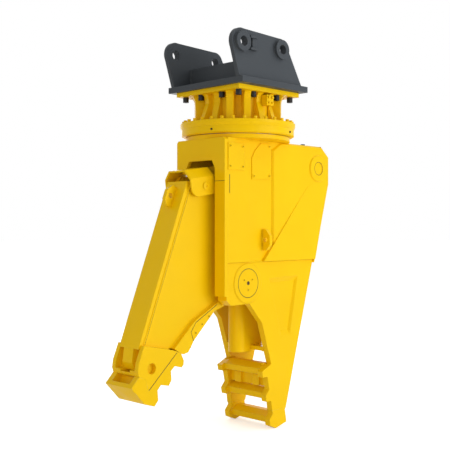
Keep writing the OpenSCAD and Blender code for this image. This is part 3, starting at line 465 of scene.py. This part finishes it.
# Bracket: the welds of the ears, bosses and cross wall
plate_low, plate_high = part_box("bracket_plate")
ear_low, ear_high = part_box("left_ear")
wall_low, wall_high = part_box("cross_wall")
boss_low, boss_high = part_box("ear_bosses")
BOSS_R = (boss_high[2] - boss_low[2]) / 2
REAR_FOOT_INSET = 0.030
PIN_SPACING = boss_high[0] - boss_low[0] - 2 * BOSS_R
bracket_welds = details("bracket", "grey_welds")
for s in SIDES:
    for y in (-s * ear_low[1], -s * ear_high[1]):
        bracket_welds.bead([(plate_low[0] + END_GAP, y, plate_high[2]),
                            (plate_high[0] - REAR_FOOT_INSET, y, plate_high[2])], EAR_WELD)
    for x in (0.0, PIN_SPACING):
        bracket_welds.bead(circle((x, 0.0), BOSS_R, s * ear_low[1]), BOSS_WELD, closed=True)
    for x in (wall_low[0], wall_high[0]):
        y = s * ear_high[1]
        bracket_welds.bead([(x, y, wall_low[2]), (x, y, wall_high[2])], PLATE_WELD)
for x in (wall_low[0], wall_high[0]):
    bracket_welds.bead([(x, wall_low[1], wall_low[2]), (x, wall_high[1], wall_low[2])], PLATE_WELD)
bracket_welds.place()

# Painted shade in the sockets of the ring bolts, and collars of the grease nipples drawn in the
# same dark shade finish
ring_painted_shade = details("bracket", "joints")
for low, high in islands("ring_bolts"):
    top_socket(ring_painted_shade, low, high, RING_SOCKET)
for low, high in islands("grease_nipples"):
    spot = Vector(centre_of(low, high))
    axis = Vector((middle("pedestal")[0], 0.0, spot.z))
    out = (spot - axis).normalized()
    ring_painted_shade.washer(spot + out * NIPPLE_LIFT, out, *NIPPLE_COLLAR, HEX)
ring_painted_shade.place()

# Housing: the seam weld, weld rings round the bosses, the welds round lugs, shelf and bars, and
# painted shade in the gaps round the caps and the rear pin, along the slot and the header, and in
# the cap holes and bolt sockets
front_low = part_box("front_side_panels")[0]
face_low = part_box("front_plate")[0]
cap_low, cap_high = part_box("pivot_caps")
shelf_low, shelf_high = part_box("throat_shelf")
neck_low, neck_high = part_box("housing_neck")
pin_low, pin_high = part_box("rear_pin")
CAP_SHADE_LINE_R = (cap_high[2] - cap_low[2]) / 2 + 0.001
PIN_SHADE_LINE_R = (pin_high[0] - pin_low[0]) / 2 + 0.002
PIN_SHADE_LINE_Y = 0.238
NECK_R = (neck_high[0] - neck_low[0]) / 2
NECK_X = neck_low[0] + NECK_R
NECK_ARC = range(-36, 37, 3)
BAR_INSET = 0.012
BOSS_RING = 0.1296
REAR_BOSS_R = 0.092
PANEL_Y = 0.230
PLATE_Y = 0.217
PLATE_INNER_Y = shelf_high[1]
SEAM_REAR_X = 0.862
SLOT_LINE = ((front_low[0] + 0.016, -0.848), (front_low[0] + 0.016, -0.970))
HEADER_Z = -0.890
WINDOW_HALF = 0.138
housing_welds = details("housing", "yellow_welds")
housing_painted_shade = details("housing", "joints")
for s in SIDES:
    y = s * PLATE_Y
    housing_welds.bead([(front_low[0] + END_GAP, y, front_low[2]),
                        (SEAM_REAR_X, y, front_low[2])], SEAM_WELD)
    housing_welds.bead(circle(PIVOT, BOSS_RING, y), FINE_WELD, closed=True)
    housing_welds.bead(circle(REAR_PIN, REAR_BOSS_R, s * PANEL_Y), FINE_WELD, closed=True)
    # Painted shade: dark strips in the gaps round the cap and the rear pin, along the slot and the
    # header, and a dark disc in the cap hole.
    housing_painted_shade.line(circle(PIVOT, CAP_SHADE_LINE_R, s * cap_high[1]), SHADE_LINE, (0, s, 0), True)
    housing_painted_shade.pit((PIVOT[0], s * cap_high[1], PIVOT[1]), (0, s, 0), CAP_HOLE)
    housing_painted_shade.line([(x, s * PANEL_Y, z) for x, z in SLOT_LINE], SLOT_SHADE_LINE, (0, s, 0))
    housing_painted_shade.line(circle(REAR_PIN, PIN_SHADE_LINE_R, s * PIN_SHADE_LINE_Y), THIN_SHADE_LINE,
                        (0, s, 0), True)
    housing_painted_shade.line([(face_low[0], s * reach, HEADER_Z) for reach in (WINDOW_HALF, PANEL_Y)],
                        THIN_SHADE_LINE, (-1, 0, 0))
    inner = s * PLATE_INNER_Y
    for z in (shelf_low[2], shelf_high[2]):
        housing_welds.bead([(shelf_low[0], inner, z), (shelf_high[0], inner, z)], FINE_WELD)
housing_welds.bead([(NECK_X + NECK_R * math.cos(math.radians(a)),
                     NECK_R * math.sin(math.radians(a)), neck_low[2])
                    for a in NECK_ARC], PLATE_WELD)
for low, high in islands("body_lugs"):
    y = side_of(high) * PLATE_Y
    for x in (low[0], high[0]):
        housing_welds.bead([(x, y, low[2] + END_GAP), (x, y, high[2] - END_GAP)], PLATE_WELD)
for low, high in islands("jaw_bars"):
    for s in SIDES:
        y = s * PLATE_INNER_Y
        housing_welds.bead([(low[0] + BAR_INSET, y, high[2]), (high[0], y, high[2]),
                            (high[0], y, low[2])], FINE_WELD)
housing_welds.place()
# Painted shade in the sockets of the deck bolts and the cover screws.
for low, high in islands("deck_bolts"):
    top_socket(housing_painted_shade, low, high, DECK_SOCKET)
for low, high in islands("cover_screws"):
    side_socket(housing_painted_shade, low, high, side_of(high), SCREW_SOCKET)
housing_painted_shade.place()

# Jaw: the welds of cover, band and shoe, and painted shade beside the cover, along the seams of
# the blades and the tooth shoe, and in the blade bolt sockets.
# Their points are in x and z from the main pivot.
ARM_Y = 0.093
HEAD_Y = 0.127
COVER_LINE = ((-0.400, 0.655), (-0.789, -0.346))
COVER_SHADOW = ((-0.392, 0.655), (-0.781, -0.346))
BAND_LINE = ((-0.569, -0.387), (-0.394, -0.227), (-0.146, -0.100))
SHOE_TOP = ((-0.800, -0.353), (-0.582, -0.393))
SHOE_SEAM = ((-0.548, -0.412), (-0.775, -0.617))
BLADE_EDGE = ((-0.194, -0.133), (-0.386, -0.237), (-0.428, -0.294), (-0.406, -0.355))
jaw_welds = details("jaw", "yellow_welds")
jaw_painted_shade = details("jaw", "joints")


def on_jaw(places, y):
    return [(PIVOT[0] + x, y, PIVOT[1] + z) for x, z in places]


for s in SIDES:
    jaw_welds.bead(on_jaw(COVER_LINE, s * ARM_Y), PLATE_WELD)
    # Painted shade: a dark strip beside the cover, dark strips along the shoe seam and the blade
    # edge, and dark discs in the blade bolt sockets.
    jaw_painted_shade.line(on_jaw(COVER_SHADOW, s * ARM_Y), THIN_SHADE_LINE, (0, s, 0))
    jaw_welds.bead(on_jaw(BAND_LINE, s * ARM_Y), PLATE_WELD)
    jaw_welds.bead(on_jaw(SHOE_TOP, s * ARM_Y), PLATE_WELD)
    jaw_painted_shade.line(on_jaw(SHOE_SEAM, s * HEAD_Y), SHADE_LINE, (0, s, 0))
    jaw_painted_shade.line(on_jaw(BLADE_EDGE, s * HEAD_Y), SHADE_LINE, (0, s, 0))
    for low, high in islands("blade_bolts"):
        if (low[1] + high[1]) * s > 0:
            side_socket(jaw_painted_shade, low, high, s, BLADE_SOCKET)
jaw_welds.place()
jaw_painted_shade.place()

# Washers on the ends of the jaw pin, which hold the hood
PIN_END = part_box("jaw_pin")[1][1]
hood_bolts = Details("jaw", "yellow_paint", "hood_bolts", MATERIALS["yellow_paint"])
for s in SIDES:
    hood_bolts.washer((JAW_PIN[0], s * PIN_END, JAW_PIN[1]), (0, s, 0), *PIN_WASHER)
hood_bolts.place()


def plain_mesh(name, corners, faces):
    mesh = bpy.data.meshes.new(name)
    mesh.from_pydata(corners, [], faces)
    thing = bpy.data.objects.new(name, mesh)
    SCENE.collection.objects.link(thing)
    return thing


def show(tree, surface, real, shown):
    """Rays from the camera, mirrors and glass meet the shown shader, and the rest the real one."""
    paths = tree.nodes.new("ShaderNodeLightPath")
    seen = tree.nodes.new("ShaderNodeMath")
    seen.operation = "MAXIMUM"
    tree.links.new(paths.outputs["Is Camera Ray"], seen.inputs[0])
    tree.links.new(paths.outputs["Is Glossy Ray"], seen.inputs[1])
    both = tree.nodes.new("ShaderNodeMath")
    both.operation = "MAXIMUM"
    tree.links.new(seen.outputs[0], both.inputs[0])
    tree.links.new(paths.outputs["Is Transmission Ray"], both.inputs[1])
    mix = tree.nodes.new("ShaderNodeMixShader")
    tree.links.new(both.outputs[0], mix.inputs[0])
    tree.links.new(real, mix.inputs[1])
    tree.links.new(shown, mix.inputs[2])
    tree.links.new(mix.outputs[0], surface)


# Floor just under the part, and a world that looks white
FLOOR_Z = CAD_BOX[0][2] - 0.002
FLOOR_HALF = 60.0
FLOOR_ROUGH = 0.9
FLOOR_GLOW = 0.52
WORLD_LIGHT = 0.54
WHITE_LIGHT = 1.0
floor = plain_mesh("floor", [(x * FLOOR_HALF, y * FLOOR_HALF, FLOOR_Z)
                             for x, y in ((-1, -1), (1, -1), (1, 1), (-1, 1))],
                   [(0, 1, 2, 3)])
floor_paint = bpy.data.materials.new("floor")
floor_paint.use_nodes = True
floor_tree = floor_paint.node_tree
floor_shader = floor_tree.nodes["Principled BSDF"]
floor_shader.inputs["Base Color"].default_value = (*FLOOR_GREY, 1.0)
floor_shader.inputs["Roughness"].default_value = FLOOR_ROUGH
glow = floor_tree.nodes.new("ShaderNodeEmission")
glow.inputs["Strength"].default_value = FLOOR_GLOW
lit = floor_tree.nodes.new("ShaderNodeAddShader")
floor_tree.links.new(floor_shader.outputs[0], lit.inputs[0])
floor_tree.links.new(glow.outputs[0], lit.inputs[1])
show(floor_tree, floor_tree.nodes["Material Output"].inputs["Surface"],
     floor_shader.outputs[0], lit.outputs[0])
dress(floor, floor_paint)

world = bpy.data.worlds.new("studio")
SCENE.world = world
world.use_nodes = True
sky = world.node_tree
back = sky.nodes["Background"]
back.inputs["Color"].default_value = (*NEUTRAL, 1.0)
back.inputs["Strength"].default_value = WORLD_LIGHT
white = sky.nodes.new("ShaderNodeBackground")
white.inputs["Color"].default_value = (*NEUTRAL, 1.0)
white.inputs["Strength"].default_value = WHITE_LIGHT
show(sky, sky.nodes["World Output"].inputs["Surface"], back.outputs[0], white.outputs[0])

# Lamps that face the part's middle, with place, width in metres, watts and colour
MIDDLE = Vector((0.3, 0.0, -1.2))
LAMPS = (
    ("key", (1.8, -5.2, -0.9), 3.0, 122.0, NEUTRAL),
    ("side", (-4.6, -2.4, -1.9), 3.0, 48.0, WARM),
    ("top", (2.8, -2.0, 2.9), 3.0, 45.0, NEUTRAL),
    ("fill", (3.6, 4.6, 0.3), 3.5, 90.0, NEUTRAL),
)
for name, place, width, watts, colour in LAMPS:
    light = bpy.data.lights.new(name, "AREA")
    light.shape = "SQUARE"
    light.size = width
    light.energy = watts
    light.color = colour
    lamp = bpy.data.objects.new(name, light)
    lamp.location = place
    lamp.rotation_euler = (MIDDLE - Vector(place)).to_track_quat("-Z", "Y").to_euler()
    SCENE.collection.objects.link(lamp)

# Camera at the place that the photograph was taken from
FOCAL_PX = 820.0
FRAME_PX = 450.0
SENSOR = 36.0
CLIP_END = 200.0
CAMERA_PLACE = (-3.7884, -3.9676, -1.177)
CAMERA_TURN = (math.radians(90.0), 0.0, math.radians(-45.0))
eye = bpy.data.cameras.new("camera")
eye.sensor_width = SENSOR
eye.lens = FOCAL_PX / FRAME_PX * SENSOR
eye.clip_end = CLIP_END
camera = bpy.data.objects.new("camera", eye)
camera.location = CAMERA_PLACE
camera.rotation_euler = CAMERA_TURN
SCENE.collection.objects.link(camera)
SCENE.camera = camera

SCENE.view_settings.view_transform = "Standard"
